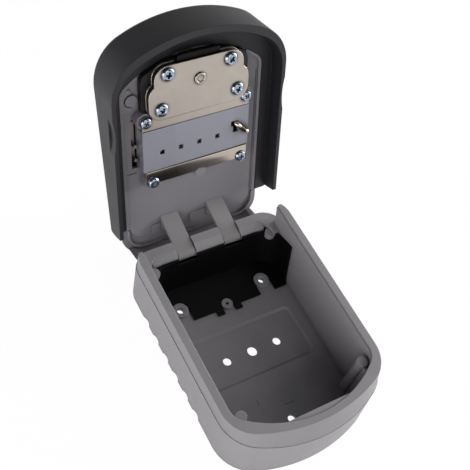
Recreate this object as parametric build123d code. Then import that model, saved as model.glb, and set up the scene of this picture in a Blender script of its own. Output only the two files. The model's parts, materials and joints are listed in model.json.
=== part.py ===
from build123d import *
import math
import os

os.makedirs("parts", exist_ok=True)

# Wall key box, lying on its back with its door open, in millimetres.
# X is across the box, Y runs from the latch end to the hinge end, Z stands out of the wall.
# The origin is the middle wall screw hole, at the back face.
# Everything on the door is built as it lies when the door is shut, then swung open.

# body shell
base_half_width = 49.1
rim_half_width = 50.0
rim_z = 41.4
step_z = 30.8
step_proud = 0.4
floor_z = 2.8
base_near_y = -70.0
step_near_y = -69.0
rim_near_y = -63.8
far_y = 72.3
base_arc_r = 93.0
step_arc_r = 80.0
rim_arc_r = 96.0
base_corner_r = 24.0
step_corner_r = 24.0
rim_corner_r = 20.0
far_corner_r = 14.0
end_wall_z = 28.3
fin_tip_y = 65.8
fin_foot_y = 61.3
fin_bend = 1.5

# cavity
near_wall = 4.6
cavity_floor_half_width = 42.9
cavity_rim_half_width = 44.9
cavity_far_y = 67.0
cavity_arc_r = 68.0
cavity_corner_r = 10.0
cavity_waist_half_width = 44.5
cavity_waist_arc_r = 76.0
cavity_waist_corner_r = 16.0
cavity_far_corner_r = 9.0
cavity_draft = 0.9
seal_step = 0.7
seal_step_depth = 1.2

# shelves that join the hinge end wall to the side walls
crest_y = 67.7
shelf_half_width = 40.4
shelf_inner_x = 30.0
shelf_near_y = 55.5
shelf_thickness = 3.3
shelf_corner_r = 9.5

# strike ledge that the latch bolt hooks under
ledge_y = -56.6
ledge_half_width = 22.0
ledge_top_z = 40.8
ledge_thickness = 1.8

# ribbed sides of the body
scallop_pitch = 12.7
scallop_width = 7.2
scallop_depth = 1.0
scallop_count = 8
scallop_first_y = -33.6
scallop_top_z = 28.8

# wall screw holes and floor details
side_hole_x = 17.13
side_hole_r = 2.6
middle_hole_r = 3.1
upper_hole_x = 28.35
upper_hole_y = 39.9
upper_hole_r = 2.2
upper_boss_r = 4.8
upper_boss_height = 1.3
near_hole_y = -46.5
near_hole_r = 2.5
recess_half_width = 34.8
recess_near_y = -14.8
recess_far_y = 17.7
recess_depth = 1.2
recess_corner_r = 4.0
recess_slope = 1.6
floor_ticks = ((-13.6, -28.6, -14.2, -32.3), (-0.1, -37.7, 6.8, -38.2))
tick_width = 0.5
tick_depth = 0.35
liner_boss_y = 33.0
liner_boss_r = 3.4
liner_boss_height = 2.0
liner_boss_hole_r = 1.0
near_post_x = 39.4
near_post_y = -42.7
near_post_z = 36.5
near_web_width = 1.8
near_web_drop = 1.5
far_post_x = 39.7
far_post_y = 57.9
far_post_z = 26.3
far_pad_foot_z = 22.6
post_r = 3.3

# hinge
hinge_y = 65.4
hinge_z = 22.8
open_angle = 108.0
pin_r = 1.5
pin_half_length = 27.0
pin_running_gap = 0.06
barrel_r = 3.2
knuckle_r = 3.5
knuckle_outer_x = 38.0
arm_x = 15.5
arm_width = 11.2
arm_thickness = 2.2
arm_side_gap = 0.5
arm_top_y = 53.2
arm_foot_length = 7.0
arm_foot_thickness = 1.2
notch_floor_z = 24.0
arm_recess_gap = 0.3

# liner
liner_wall = 1.2
liner_gap = 0.3
liner_top_z = 24.8
liner_top_y = 62.1
liner_floor_y = 54.7
liner_side_top_z = 30.8
liner_side_front_y = 40.9
liner_side_foot_y = 33.3
liner_strip_y = 31.0
liner_corner_r = 14.0
liner_arm_notch_z = 21.6
liner_arm_notch_gap = 0.7
liner_boss_gap = 0.4
liner_tab_width = 4.6
liner_tab_length = 3.4
liner_strip_corner_r = 2.0

# door tray
panel_z = 43.4
panel_thickness = 2.0
tray_half_width = 43.8
tray_near_y = -57.6
tray_arc_r = 66.2
tray_corner_r = 8.2
lip_width = 1.8
lip_height = 1.2
groove_x = 41.0
groove_near_y = -34.0
groove_far_y = 56.0
groove_width = 1.0
groove_depth = 0.7
lip_housing_gap = 0.6
flange_half_width = 46.0
flange_near_y = 51.2
flange_far_y = 72.3
flange_corner_r = 14.0
end_lip_inset = 0.3
flange_wall = 2.2
flange_front_z = 46.6
end_lip_y = 67.1
end_lip_z = 33.0
boss_r = 4.9
boss_lock_gap = 0.3
panel_edge_half_width = 41.0
panel_edge_y = 60.4
panel_edge_corner_r = 9.0
flange_step = 0.8
ridge_half_width = 43.0
ridge_y = 67.8
ridge_corner_r = 11.5
ridge_width = 1.1
ridge_height = 0.9
tab_near_y = 53.8
tab_height = 0.8
tab_spans = ((-27.5, -20.5), (-1.6, 10.3))
tab_corner_r = 1.8
pad_x = -37.2
pad_y = -35.0
pad_r = 3.4
pad_height = 1.6
pad_ring = 0.7
plateau_near_y = -42.0
plateau_far_y = -28.0
plateau_inner_x = -37.0
plateau_corner_r = 2.0
line_y = 12.8
line_left = -40.8
line_right = -35.0
line_width = 0.6
line_depth = 0.5

# weather cover
cover_half_width = 52.8
skirt_half_width = 50.5
skirt_gap = 0.3
skirt_near_gap = 0.6
cover_near_wall = 3.9
cover_far_y = 51.0
cover_far_r = 3.0
cover_arc_r = 93.0
cover_corner_r = 27.0
cover_front_z = 52.3
cover_front_fall = 0.11
cover_front_wall = 2.5
cover_edge_r = 4.0
channel_z = 41.9
pocket_gap = 0.3
skirt_clear = 0.6
skirt_corner_clear = 0.5
skirt_end_top_y = 49.5
skirt_end_foot_y = 46.8
scoop_length = 21.0
scoop_y = -21.5
scoop_depth = 1.1
scoop_top_z = 37.0

# lock case
plate_z = 34.3
plate_thickness = 1.2
plate_gap = 2.5
plate_top_y = -55.2
plate_bottom_y = -23.7
plate_half_width = 30.5
plate_head_half_width = 27.0
plate_shoulder_y = -45.5
plate_head_r = 8.0
plate_foot_r = 8.0
housing_half_width = 32.6
housing_near_y = -55.6
housing_far_y = -28.3
housing_corner_r = 12.0
lock_screw_places = ((-19.2, -50.4), (18.6, -50.4), (23.5, -30.8), (-23.1, -30.0))
screw_head_r = 3.9
screw_head_height = 1.8
screw_shank_r = 1.5
screw_hole_gap = 0.1
collar_wall = 1.3
rivet_y = -43.3
rivet_flange_r = 3.4
rivet_flange_height = 0.4
rivet_head_r = 2.3
rivet_head_height = 1.0
rivet_shank_r = 1.6

# latch bolt
bolt_half_width = 12.9
bolt_tip_y = -59.6
bolt_heel_y = -35.0
bolt_thickness = 1.8
bolt_gap = 0.3
bolt_corner_r = 3.0
bolt_travel = 4.2
post_y = -38.0
link_post_r = 1.5

# brackets and dial cover
bracket_z = 36.2
bracket_thickness = 1.2
upper_bracket_left = -34.0
upper_bracket_right = 32.8
upper_bracket_near_y = -26.8
upper_bracket_far_y = -17.6
upper_strip_step = 5.0
upper_strip_narrow = 28.0
upper_screw_places = ((-31.8, -23.2), (30.6, -23.2))
lower_bracket_near_y = 9.6
lower_bracket_far_y = 18.3
lower_bracket_half_width = 32.4
lower_screw_places = ((-28.2, 17.4), (28.6, 17.1))
lower_fold_inset = 3.0
lower_fold_r = 1.0
lower_bump_x = 2.4
lower_bump_r = 4.0
lower_bump_reach = 2.4
bracket_ear_r = 3.6
bracket_head_r = 3.4
dial_cover_left = -34.0
dial_cover_right = 33.0
dial_cover_near_y = -17.3
dial_cover_far_y = 9.3
dial_cover_wall = 1.5
sight_hole_width = 2.8
sight_hole_length = 2.8
reset_slot_width = 2.6
reset_slot_length = 6.0

# dials
dial_first_x = -22.3
dial_pitch = 11.67
dial_count = 4
dial_r = 7.6
dial_width = 9.5
dial_y = -1.6
dial_z = 45.7
dial_hub_r = 3.2
dial_hub_side = 0.3
dial_flute_r = 1.1
dial_numbers = 10
dial_window_gap = 0.6
shaft_r = 1.6
shaft_running_gap = 0.06
shaft_ear_width = 2.4
shaft_ear_half = 3.4

# reset lever
reset_x = 24.6
reset_y = -6.7
reset_tip_x = 31.2
reset_tip_y = -0.4
reset_slot_gap = 0.3
reset_slot_foot = 1.5
reset_ball = 0.3
reset_r = 1.2
reset_clear = 0.4

# opening slider and its link
link_x = 7.9 - tray_half_width
link_width = 2.6
link_near_y = -31.0
link_far_y = 4.6
link_slot_near_y = -22.6
link_foot_half = 3.0
link_foot_length = 4.0
link_foot_tail = 2.5
link_pin_reach = 1.4
link_z = 45.8
link_thickness = 1.3
link_slot_gap = 0.6
link_pin_r = 1.0
link_pin_places = (-5.6, 3.3)
slider_width = 11.0
slider_length = 17.0
slider_height = 3.4
slider_gap = 0.2
slider_ribs = 4
slider_rib_pitch = 3.4
slider_groove_half = 0.6
slider_groove_depth = 0.8
slider_corner_r = 2.5
stem_width = 5.0
stem_length = 10.0


def plan(z, half_width, near_y, arc_r, corner_r, end_y, end_r):
    """Outline seen from the front: bowed latch end, straight sides, rounded hinge end."""
    corner_x = half_width - corner_r
    bow_y = near_y + arc_r
    corner_y = bow_y - math.sqrt((arc_r - corner_r) ** 2 - corner_x ** 2)
    reach = arc_r / (arc_r - corner_r)
    bow_x = corner_x * reach
    bow_end_y = bow_y + (corner_y - bow_y) * reach
    lean = math.atan2(corner_y - bow_y, corner_x) / 2
    mid_x = corner_x + corner_r * math.cos(lean)
    mid_y = corner_y + corner_r * math.sin(lean)
    end_x = half_width - end_r
    bend = end_r * math.sqrt(0.5)
    right = [
        ThreePointArc((bow_x, bow_end_y), (mid_x, mid_y), (half_width, corner_y)),
        Line((half_width, corner_y), (half_width, end_y - end_r)),
        ThreePointArc((half_width, end_y - end_r), (end_x + bend, end_y - end_r + bend), (end_x, end_y)),
    ]
    left = [
        ThreePointArc((-end_x, end_y), (-end_x - bend, end_y - end_r + bend), (-half_width, end_y - end_r)),
        Line((-half_width, end_y - end_r), (-half_width, corner_y)),
        ThreePointArc((-half_width, corner_y), (-mid_x, mid_y), (-bow_x, bow_end_y)),
    ]
    bow = ThreePointArc((-bow_x, bow_end_y), (0, near_y), (bow_x, bow_end_y))
    end = Line((end_x, end_y), (-end_x, end_y))
    outline = Wire([bow] + right + [end] + left)
    return Pos(0, 0, z) * Face(outline)


def block(x0, x1, y0, y1, z0, z1):
    """Plain block between two corners."""
    return Pos((x0 + x1) / 2, (y0 + y1) / 2, (z0 + z1) / 2) * Box(x1 - x0, y1 - y0, z1 - z0)


def rounded_block(x0, x1, y0, y1, z0, z1, corner_r):
    """Block with its four upright edges rounded."""
    sketch = Pos((x0 + x1) / 2, (y0 + y1) / 2, z0) * RectangleRounded(x1 - x0, y1 - y0, corner_r)
    return extrude(sketch, z1 - z0)


def post(x, y, z0, z1, r):
    """Upright round post."""
    return Pos(x, y, (z0 + z1) / 2) * Cylinder(r, z1 - z0)


def cross_rod(x0, x1, y, z, r):
    """Round rod lying across the box."""
    return Pos((x0 + x1) / 2, y, z) * Rot(0, 90, 0) * Cylinder(r, x1 - x0)


def side_prism(points, x0, x1):
    """Prism across the box from an outline of (y, z) points."""
    wire = Polyline(*[(x0, y, z) for y, z in points], close=True)
    return extrude(Face(Wire(wire.edges())), x1 - x0, dir=(1, 0, 0))


def swung_open(shape):
    """Swing a door piece from shut to open."""
    return shape.rotate(Axis((0, hinge_y, hinge_z), (1, 0, 0)), -open_angle)


def base_half_width_at(z):
    """Half width of the ribbed wall at a height."""
    return base_half_width + (rim_half_width + step_proud - base_half_width) * z / step_z


def body_outer():
    """Solid outside form of the body."""
    lower_top = plan(step_z, rim_half_width + step_proud, step_near_y - step_proud, step_arc_r,
                     step_corner_r, far_y, far_corner_r)
    base = plan(0, base_half_width, base_near_y, base_arc_r, base_corner_r, far_y, far_corner_r)
    upper_foot = plan(step_z, rim_half_width, step_near_y, step_arc_r, step_corner_r, far_y, far_corner_r)
    rim = plan(rim_z, rim_half_width, rim_near_y, rim_arc_r, rim_corner_r, far_y, far_corner_r)
    return loft([base, lower_top], ruled=True) + loft([upper_foot, rim], ruled=True)


def body_cavity(end_y, end_r):
    """Space inside the body, wider at the mouth and bowed out behind the strike ledge."""
    floor = plan(floor_z, cavity_floor_half_width, base_near_y + near_wall, cavity_waist_arc_r,
                 cavity_waist_corner_r, end_y - cavity_draft, end_r)
    waist = plan(step_z, cavity_waist_half_width, step_near_y + near_wall, cavity_waist_arc_r,
                 cavity_waist_corner_r, end_y, end_r)
    mouth_near_y = rim_near_y + near_wall
    mouth = plan(rim_z, cavity_rim_half_width, mouth_near_y, cavity_arc_r, cavity_corner_r, end_y, end_r)
    seal = plan(rim_z - seal_step_depth, cavity_rim_half_width + seal_step, mouth_near_y - seal_step,
                cavity_arc_r + seal_step, cavity_corner_r + seal_step, end_y, end_r)
    space = loft([floor, waist], ruled=True) + loft([waist, mouth], ruled=True)
    return space + extrude(seal, seal_step_depth + 1)


def end_passage():
    """Space above the hinge end wall, where the cavity runs straight out between the side walls."""
    return body_cavity(far_y + 20, cavity_far_corner_r) & block(-60, 60, 0, far_y + 5, end_wall_z, rim_z + 5)


def fin_end_cut():
    """Everything past the slanted ends of the side walls, above the hinge end wall."""
    top = rim_z + 5
    lean = (fin_tip_y - fin_foot_y) / (rim_z - end_wall_z)
    points = [
        (fin_foot_y + lean * (top - end_wall_z), top),
        (fin_foot_y + lean * fin_bend, end_wall_z + fin_bend),
        (fin_foot_y + fin_bend * 0.5, end_wall_z + fin_bend * 0.3),
        (fin_foot_y + fin_bend * 1.2, end_wall_z),
        (far_y + 5, end_wall_z),
        (far_y + 5, top),
    ]
    return side_prism(points, -60, 60)


def corner_shelves():
    """Flat shelves at the two hinge end corners."""
    foot_z = end_wall_z - shelf_thickness
    inner = plan(foot_z - 1, shelf_half_width, base_near_y + 20, cavity_arc_r, cavity_corner_r, crest_y,
                 shelf_corner_r)
    shelves = block(-60, 60, shelf_near_y, far_y - 1, foot_z, end_wall_z) - extrude(inner, shelf_thickness + 2)
    return shelves - block(-shelf_inner_x, shelf_inner_x, 0, 90, 0, 60)


def floor_recess():
    """Shallow recess in the floor with sloped sides."""
    middle_y = (recess_near_y + recess_far_y) / 2
    width = 2 * recess_half_width
    length = recess_far_y - recess_near_y
    low = Pos(0, middle_y, floor_z - recess_depth) * RectangleRounded(
        width - recess_slope, length - recess_slope, recess_corner_r - recess_slope / 2)
    high = Pos(0, middle_y, floor_z) * RectangleRounded(
        width + recess_slope, length + recess_slope, recess_corner_r + recess_slope / 2)
    return loft([low, high], ruled=True) + extrude(high, 1)


def floor_tick(x0, y0, x1, y1):
    """Short groove in the floor."""
    turn = math.degrees(math.atan2(y1 - y0, x1 - x0))
    bar = Box(math.hypot(x1 - x0, y1 - y0), tick_width, 2 * tick_depth)
    return Pos((x0 + x1) / 2, (y0 + y1) / 2, floor_z) * Rot(0, 0, turn) * bar


def scallops(side):
    """Tapered hollows along one side wall, deepest at the back face."""
    hollow_r = (scallop_width ** 2 / 4 + scallop_depth ** 2) / (2 * scallop_depth)
    foot_x = base_half_width + hollow_r - scallop_depth
    top_x = base_half_width_at(scallop_top_z) + hollow_r
    lean = math.degrees(math.atan2(top_x - foot_x, scallop_top_z))
    hollow = Cylinder(hollow_r, 3 * scallop_top_z, align=(Align.CENTER, Align.CENTER, Align.CENTER))
    hollows = None
    for number in range(scallop_count):
        y = scallop_first_y + number * scallop_pitch
        cut = Pos(side * foot_x, y, 0) * Rot(0, side * lean, 0) * hollow
        hollows = cut if hollows is None else hollows + cut
    return hollows & block(-80, 80, -80, 90, -1, scallop_top_z)


def knuckle_bar(x0, x1):
    """Thick top of the hinge end wall, rounded under the hinge pin."""
    wall_y = crest_y + 0.5
    bend = knuckle_r * 0.72
    slope = [
        (wall_y, end_wall_z),
        (crest_y, end_wall_z),
        (hinge_y - bend, hinge_z + bend),
        (hinge_y - bend, hinge_z - bend),
        (wall_y, hinge_z - knuckle_r * 2),
    ]
    return side_prism(slope, x0, x1) + cross_rod(x0, x1, hinge_y, hinge_z, knuckle_r)


def near_post(side):
    """Post at a latch end corner, with a web to the wall."""
    x = side * near_post_x
    web = block(x - near_web_width / 2, x + near_web_width / 2, base_near_y, near_post_y, floor_z - 1,
                near_post_z - near_web_drop)
    return post(x, near_post_y, floor_z - 1, near_post_z, post_r) + web


def body_shell():
    """Cast body: back plate, ribbed sides, strike ledge, hinge knuckles and wall screw holes."""
    outer = body_outer()
    shell = outer - body_cavity(cavity_far_y, cavity_far_corner_r) - end_passage()
    ledge = block(-ledge_half_width, ledge_half_width, base_near_y, ledge_y,
                  ledge_top_z - ledge_thickness, ledge_top_z)
    shell += (ledge + corner_shelves() + near_post(-1) + near_post(1)) & outer
    arm_gap_in = arm_x - arm_width / 2 - arm_side_gap
    arm_gap_out = arm_x + arm_width / 2 + arm_side_gap
    shell += knuckle_bar(-arm_gap_in, arm_gap_in)
    for side in (-1, 1):
        x0, x1 = sorted((side * arm_gap_out, side * knuckle_outer_x))
        shell += knuckle_bar(x0, x1)
        shell += post(side * far_post_x, far_post_y, far_pad_foot_z, far_post_z, post_r)
        shell += post(side * upper_hole_x, upper_hole_y, floor_z - 1, floor_z + upper_boss_height, upper_boss_r)
    shell += post(0, liner_boss_y, floor_z - 1, floor_z + liner_boss_height, liner_boss_r)
    shell -= fin_end_cut()
    for side in (-1, 1):
        shell -= scallops(side)
        x0, x1 = sorted((side * arm_gap_in, side * arm_gap_out))
        shell -= block(x0, x1, cavity_far_y - 1, far_y + 1, notch_floor_z, rim_z)
        shell -= cross_rod(x0, x1, hinge_y, hinge_z, barrel_r + 0.4)
        shell -= post(side * side_hole_x, 0, -1, floor_z + 1, side_hole_r)
        shell -= post(side * upper_hole_x, upper_hole_y, -1, floor_z + upper_boss_height + 1, upper_hole_r)
    shell -= floor_recess()
    for tick in floor_ticks:
        shell -= floor_tick(*tick)
    shell -= post(0, 0, -1, floor_z + 1, middle_hole_r)
    shell -= post(0, near_hole_y, -1, floor_z + 1, near_hole_r)
    shell -= post(0, liner_boss_y, floor_z, floor_z + liner_boss_height + 1, liner_boss_hole_r)
    shell -= cross_rod(-pin_half_length, pin_half_length, hinge_y, hinge_z, pin_r)
    return shell


def hinge_pin():
    """Steel pin held in the body's knuckles."""
    return cross_rod(-pin_half_length, pin_half_length, hinge_y, hinge_z, pin_r)


def liner_form(inset):
    """Outside form of the liner, drawn in by an inset."""
    slope = (liner_top_y - liner_floor_y) / (liner_top_z - floor_z)
    top_y = liner_floor_y + slope * (liner_side_top_z + 1 - floor_z)
    foot = plan(floor_z, cavity_floor_half_width - liner_gap - inset, base_near_y + 20, cavity_arc_r,
                cavity_corner_r, liner_floor_y - inset, liner_corner_r - inset)
    head = plan(liner_side_top_z + 1, cavity_waist_half_width - liner_gap - inset, base_near_y + 20,
                cavity_arc_r, cavity_corner_r, top_y - inset, liner_corner_r - inset)
    return loft([foot, head], ruled=True)


def hinge_liner():
    """Black liner that hides the hinge end: sloped face, side wings and a floor strip."""
    hollow = liner_form(liner_wall) & block(-60, 60, -90, 90, floor_z + liner_wall, 60)
    liner = liner_form(0) - hollow
    strip_top_z = floor_z + liner_wall
    front = [(-90, 0), (liner_strip_y, 0), (liner_strip_y, strip_top_z), (liner_side_foot_y, strip_top_z),
             (liner_side_front_y, liner_side_top_z), (liner_side_front_y, 60), (-90, 60)]
    liner -= side_prism(front, -60, 60)
    fall = (liner_side_top_z - liner_top_z) / (liner_top_y - liner_side_front_y)
    crown = [(liner_side_front_y, liner_side_top_z), (90, liner_side_top_z - fall * (90 - liner_side_front_y)),
             (90, 60), (liner_side_front_y - 5, 60), (liner_side_front_y - 5, liner_side_top_z)]
    liner -= side_prism(crown, -60, 60)
    shelf_foot_z = end_wall_z - shelf_thickness - liner_gap
    liner -= block(-60, 60, shelf_near_y - liner_gap, 90, shelf_foot_z, 60)
    notch_half = arm_width / 2 + liner_arm_notch_gap
    notch_r = upper_boss_r + liner_boss_gap
    tab_x = liner_boss_r + liner_boss_gap
    corner_x = cavity_floor_half_width - liner_gap - liner_strip_corner_r
    corner_y = liner_strip_y + liner_strip_corner_r
    liner -= post(0, liner_boss_y, 0, 10, tab_x)
    liner -= block(-tab_x, tab_x, liner_strip_y - 1, liner_boss_y, 0, 10)
    for side in (-1, 1):
        liner -= block(side * arm_x - notch_half, side * arm_x + notch_half, liner_floor_y, liner_top_y + 4,
                       liner_arm_notch_z, 40)
        liner -= post(side * upper_hole_x, upper_hole_y, 0, 10, notch_r)
        liner -= block(side * upper_hole_x - notch_r, side * upper_hole_x + notch_r, liner_strip_y - 1,
                       upper_hole_y, 0, 10)
        x0, x1 = sorted((side * tab_x, side * (tab_x + liner_tab_width)))
        liner += block(x0, x1, liner_strip_y - liner_tab_length, liner_strip_y + 1, floor_z, strip_top_z)
        x0, x1 = sorted((side * corner_x, side * 60))
        liner -= (block(x0, x1, liner_strip_y - 1, corner_y, 0, strip_top_z)
                  - post(side * corner_x, corner_y, 0, 10, liner_strip_corner_r))
        liner -= post(side * far_post_x, far_post_y, far_pad_foot_z - liner_gap, 40, post_r + liner_gap)
    return liner


def arm_section():
    """Side section of one hinge arm, from the barrel up to its foot on the door panel."""
    rise = math.atan2(panel_z - hinge_z, hinge_y - arm_top_y)
    along = (-math.cos(rise), math.sin(rise))
    out = (math.sin(rise), math.cos(rise))
    start_y = hinge_y - out[0] * barrel_r
    start_z = hinge_z - out[1] * barrel_r
    reach = (panel_z - start_z) / along[1]
    back_reach = (panel_z - start_z - out[1] * arm_thickness) / along[1]
    return [
        (start_y, start_z),
        (start_y + along[0] * reach, panel_z),
        (start_y + out[0] * arm_thickness + along[0] * back_reach, panel_z),
        (start_y + out[0] * arm_thickness, start_z + out[1] * arm_thickness),
    ]


def hinge_arm(side):
    """Gooseneck arm: barrel round the pin, sloped strap and a foot on the door panel."""
    x0, x1 = sorted((side * (arm_x - arm_width / 2), side * (arm_x + arm_width / 2)))
    points = arm_section()
    foot_y = points[2][0]
    arm = side_prism(points, x0, x1) + cross_rod(x0, x1, hinge_y, hinge_z, barrel_r)
    arm += block(x0, x1, foot_y - 1, foot_y + arm_foot_length, panel_z - arm_foot_thickness, panel_z)
    arm -= cross_rod(x0 - 1, x1 + 1, hinge_y, hinge_z, pin_r + pin_running_gap)
    return swung_open(arm)


def tray_plan(z, inset):
    """Outline of the door tray inside the weather cover."""
    return plan(z, tray_half_width - inset, tray_near_y + inset, tray_arc_r - inset, tray_corner_r - inset,
                flange_near_y + 5, 2.0)


def flange_plan(z, inset):
    """Outline of the tray's hinge end."""
    return plan(z, flange_half_width - inset, tray_near_y, tray_arc_r + 6, tray_corner_r, flange_far_y - inset,
                flange_corner_r - inset)


def shaft_ears():
    """Two ears that carry the dial shaft."""
    left = dial_first_x - dial_width / 2 - dial_window_gap - shaft_ear_width
    right = dial_first_x + (dial_count - 1) * dial_pitch + dial_width / 2 + dial_window_gap
    ears = None
    for x in (left, right):
        ear = block(x, x + shaft_ear_width, dial_y - shaft_ear_half, dial_y + shaft_ear_half,
                    panel_z, dial_z + shaft_ear_half)
        ears = ear if ears is None else ears + ear
    return ears


def shaft_ends():
    """Where the dial shaft starts and ends."""
    left = dial_first_x - dial_width / 2 - dial_window_gap - shaft_ear_width
    right = dial_first_x + (dial_count - 1) * dial_pitch + dial_width / 2 + dial_window_gap + shaft_ear_width
    return left, right


def tray_hinge_end():
    """The tray's hinge end: stepped flange, ridge, end lip and two raised tabs."""
    beyond = block(-60, 60, flange_near_y, 90, 0, 90)
    low_z = panel_z + flange_step
    edge = extrude(plan(panel_z - 1, panel_edge_half_width, tray_near_y, tray_arc_r, tray_corner_r,
                        panel_edge_y, panel_edge_corner_r), flange_step + 1)
    flange = extrude(flange_plan(low_z, 0), flange_front_z - low_z) & beyond
    flange += edge & beyond & block(-60, 60, 0, 90, panel_z, low_z)
    lip = extrude(flange_plan(end_lip_z, end_lip_inset), low_z - end_lip_z)
    lip -= extrude(flange_plan(end_lip_z, end_lip_inset + flange_wall), low_z - end_lip_z)
    flange += lip & block(-60, 60, end_lip_y, 90, 0, 90)
    ridge_z = panel_z - ridge_height
    ridge = extrude(plan(ridge_z, ridge_half_width, tray_near_y, tray_arc_r, tray_corner_r, ridge_y,
                         ridge_corner_r), low_z - ridge_z)
    ridge -= extrude(plan(ridge_z, ridge_half_width - ridge_width, tray_near_y, tray_arc_r, tray_corner_r,
                          ridge_y - ridge_width, ridge_corner_r - ridge_width), low_z - ridge_z)
    flange += ridge & block(-60, 60, panel_edge_y - panel_edge_corner_r + ridge_width, 90, 0, 90)
    for x0, x1 in tab_spans:
        flange += rounded_block(x0, x1, tab_near_y, panel_edge_y, panel_z - tab_height, panel_z + 0.5, tab_corner_r)
    return flange


def tray_marks():
    """Small marks cut in the tray's inner face: two lines and the ring round the pad."""
    marks = block(groove_x - groove_width / 2, groove_x + groove_width / 2, groove_near_y, groove_far_y,
                  panel_z, panel_z + groove_depth)
    marks += block(line_left, line_right, line_y - line_width / 2, line_y + line_width / 2, panel_z,
                   panel_z + line_depth)
    ring = post(pad_x, pad_y, panel_z - lip_height - 1, panel_z + line_depth, pad_r + pad_ring)
    return marks + (ring - post(pad_x, pad_y, 0, 60, pad_r))


def tray_openings():
    """Openings through the tray for the dials, the link and the screws."""
    front_z = panel_z + panel_thickness + 1
    left, right = shaft_ends()
    reach = dial_r + dial_window_gap
    holes = block(left + shaft_ear_width, right - shaft_ear_width, dial_y - reach, dial_y + reach,
                  panel_z - 1, front_z)
    holes += cross_rod(left - 1, right + 1, dial_y, dial_z, shaft_r)
    slot = link_width / 2 + link_slot_gap
    holes += block(link_x - slot, link_x + slot, link_slot_near_y, link_far_y + bolt_travel + link_slot_gap,
                   panel_z - 1, front_z)
    slot = link_post_r + link_slot_gap
    holes += block(-slot, slot, post_y - slot, post_y + bolt_travel + slot, panel_z - 1, front_z)
    for x, y in lock_screw_places + upper_screw_places + lower_screw_places:
        holes += post(x, y, bracket_z, front_z, screw_shank_r)
    return holes + post(reset_x, reset_y, panel_z - 1, front_z, reset_r + reset_clear)


def door_tray():
    """Grey door panel with its rim lip, hinge flange, bosses and openings."""
    tray = extrude(tray_plan(panel_z, 0), panel_thickness) & block(-60, 60, -90, flange_near_y, 0, 90)
    tray += tray_hinge_end()
    lip = extrude(tray_plan(panel_z - lip_height, 0), lip_height)
    lip -= extrude(tray_plan(panel_z - lip_height, lip_width), lip_height)
    lip -= block(-60, 60, flange_near_y, 90, 0, 90)
    housing_reach = housing_half_width + lip_housing_gap
    lip -= block(-housing_reach, housing_reach, -90, housing_far_y, 0, 90)
    tray += lip
    foot_half = arm_width / 2 + arm_recess_gap
    for side in (-1, 1):
        tray -= block(side * arm_x - foot_half, side * arm_x + foot_half, tab_near_y - 5, ridge_y + 0.5,
                      panel_z - lip_height, panel_z)
    beside_lock = plate_form(bracket_z, panel_z - bracket_z, boss_lock_gap)
    for x, y in upper_screw_places + lower_screw_places:
        tray += post(x, y, bracket_z + bracket_thickness, panel_z + 0.5, boss_r) - beside_lock
    tray += rounded_block(lip_width / 2 - tray_half_width, plateau_inner_x, plateau_near_y, plateau_far_y,
                          panel_z - lip_height, panel_z + 0.5, plateau_corner_r)
    tray += post(pad_x, pad_y, panel_z - pad_height, panel_z + 0.5, pad_r)
    tray += shaft_ears()
    return swung_open(tray - tray_marks() - tray_openings())


def cover_front(y, drop):
    """Height of the cover's sloped front, less a drop."""
    return cover_front_z - cover_front_fall * y - drop


def front_wedge(drop):
    """Everything in front of the cover's sloped front."""
    return side_prism([(-100, cover_front(-100, drop)), (90, cover_front(90, drop)), (90, 90), (-100, 90)], -70, 70)


def weather_cover():
    """Black outer shell of the door, with a skirt that drops over the body's rim."""
    edge_z = step_z + skirt_gap
    near_inner = step_near_y - skirt_near_gap
    foot = plan(edge_z, cover_half_width, near_inner - cover_near_wall, cover_arc_r, cover_corner_r,
                cover_far_y, cover_far_r)
    cover = extrude(foot, cover_front(near_inner, 0) - edge_z + 5) - front_wedge(0)
    front = cover.faces().sort_by(Axis.Z)[-1]
    rim_edges = [e for e in front.edges() if e.center().Y < cover_far_y - 0.5]
    cover = fillet(rim_edges, cover_edge_r)
    skirt_foot = plan(edge_z, skirt_half_width, near_inner, step_arc_r + skirt_clear,
                      step_corner_r + skirt_corner_clear, 90, 4)
    skirt_head = plan(channel_z, skirt_half_width, rim_near_y - skirt_near_gap, rim_arc_r + skirt_clear,
                      rim_corner_r + skirt_corner_clear, 90, 4)
    cover -= loft([skirt_foot, skirt_head], ruled=True)
    pocket = plan(channel_z - 0.5, tray_half_width + pocket_gap, tray_near_y - pocket_gap,
                  tray_arc_r + pocket_gap, tray_corner_r + pocket_gap, 90, 4)
    deep = extrude(pocket, 40) - front_wedge(cover_front_wall)
    flat = extrude(pocket, panel_z + panel_thickness - channel_z + 0.5)
    cover -= deep + flat
    cover -= side_prism([(skirt_end_top_y, channel_z), (skirt_end_foot_y, edge_z - 1), (90, edge_z - 1),
                         (90, channel_z)], -70, 70)
    cover -= front_openings()
    cover -= finger_scoops()
    return swung_open(cover)


def front_openings():
    """Dial slots and the slider's slot in the cover's front."""
    cuts = None
    for number in range(dial_count):
        x = dial_first_x + number * dial_pitch
        half = dial_width / 2 + 0.5
        cut = block(x - half, x + half, dial_y - dial_r - dial_window_gap, dial_y + dial_r + dial_window_gap,
                    dial_z, 70)
        cuts = cut if cuts is None else cuts + cut
    half = stem_width / 2 + link_slot_gap
    y0, y1 = stem_span()
    return cuts + block(link_x - half, link_x + half, y0 - link_slot_gap, y1 + bolt_travel + link_slot_gap,
                        dial_z, 70)


def stem_span():
    """Where the slider's stem lies along the door."""
    middle = (link_near_y + link_far_y) / 2
    return middle - stem_length / 2, middle + stem_length / 2


def finger_scoops():
    """Finger grips along the foot of the skirt, one on each side."""
    scoop_r = (scoop_length ** 2 / 4 + scoop_depth ** 2) / (2 * scoop_depth)
    x = cover_half_width - scoop_depth + scoop_r
    return post(-x, scoop_y, 20, scoop_top_z, scoop_r) + post(x, scoop_y, 20, scoop_top_z, scoop_r)


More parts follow.
